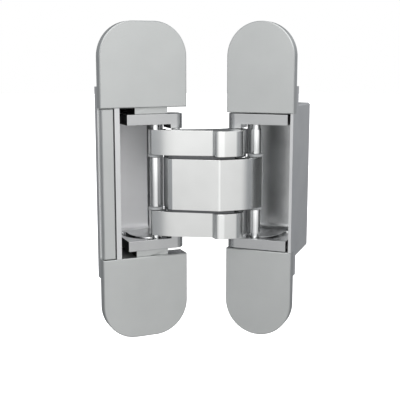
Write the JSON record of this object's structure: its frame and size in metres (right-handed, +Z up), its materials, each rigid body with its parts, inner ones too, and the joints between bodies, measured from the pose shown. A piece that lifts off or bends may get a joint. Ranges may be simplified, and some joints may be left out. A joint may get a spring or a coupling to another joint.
{
  "type": "concealed door hinge",
  "caption": "Concealed mortise door hinge, adjustable three ways: two rounded plates with pocketed bodies joined by a scissor of bent arms, shown open.",
  "frame": {"origin": "gap edge of the frame half's front face, half way up", "axes": "+X across the gap towards the door half, +Y into the frame, +Z up along the hinge's turning axes"},
  "size_m": [0.0784, 0.0477, 0.111],
  "materials": {
    "housing": "satin nickel plate on cast zinc",
    "cover": "satin nickel plate",
    "trim": "satin nickel plate",
    "block": "satin nickel plate",
    "carriage": "satin nickel plate on cast zinc",
    "arm": "polished chrome plate",
    "sleeve": "polished steel",
    "liner": "dark grey acetal",
    "washer": "grey nylon",
    "pin": "ground steel",
    "screw": "zinc plated steel"
  },
  "bodies": {
    "frame_side": {"frame_housing": "housing", "frame_trim_strip": "trim", "frame_cover_upper": "cover", "frame_cover_lower": "cover", "clamp_screw_upper": "screw", "clamp_screw_lower": "screw"},
    "height_blocks": {"height_block_upper": "block", "height_block_lower": "block"},
    "frame_carrier": {"frame_carriage": "carriage", "frame_pivot_pin": "pin"},
    "middle_link": {"middle_arm": "arm", "arm_liner_upper": "liner", "arm_liner_lower": "liner", "door_slide_pin": "pin", "door_sleeve_upper": "sleeve", "door_sleeve_lower": "sleeve", "door_washer_upper": "washer", "door_washer_lower": "washer"},
    "outer_link": {"outer_arm_upper": "arm", "outer_arm_lower": "arm", "crossing_pin": "pin", "frame_slide_pin": "pin", "frame_sleeve": "sleeve", "frame_washer_upper": "washer", "frame_washer_lower": "washer"},
    "door_carrier": {"door_carriage": "carriage", "door_pivot_pin": "pin", "depth_screw_upper": "screw", "depth_screw_lower": "screw"},
    "door_side": {"door_housing": "housing", "door_cover_upper": "cover", "door_cover_lower": "cover"}
  },
  "joints": [
    {"name": "height_adjust", "type": "slide", "parent": "frame_side", "child": "height_blocks", "axis": [0, 0, 1], "range_m": [-0.002, 0.002]},
    {"name": "side_adjust", "type": "slide", "parent": "height_blocks", "child": "frame_carrier", "axis": [1, 0, 0], "range_m": [-0.002, 0.0008]},
    {"name": "swing", "type": "hinge", "parent": "frame_carrier", "child": "middle_link", "pos_m": [-0.003, 0.003, 0], "axis": [0, 0, 1], "range_deg": [-97.14, 31.43]},
    {"name": "arms_cross", "type": "hinge", "parent": "middle_link", "child": "outer_link", "pos_m": [0.00392, -0.008, 0], "axis": [0, 0, 1], "range_deg": [-18.9, 58.3]},
    {"name": "door_pivot", "type": "hinge", "parent": "outer_link", "child": "door_carrier", "pos_m": [0.01655, -0.0049, 0], "axis": [0, 0, 1], "range_deg": [-97.2, 31.5]},
    {"name": "depth_adjust", "type": "slide", "parent": "door_carrier", "child": "door_side", "axis": [0.6947, 0.7193, 0], "range_m": [-0.0009, 0.0009]}
  ],
  "couplings": [
    {"joint": "arms_cross", "follows": "swing", "ratio": -0.6},
    {"joint": "door_pivot", "follows": "swing", "ratio": 1}
  ]
}
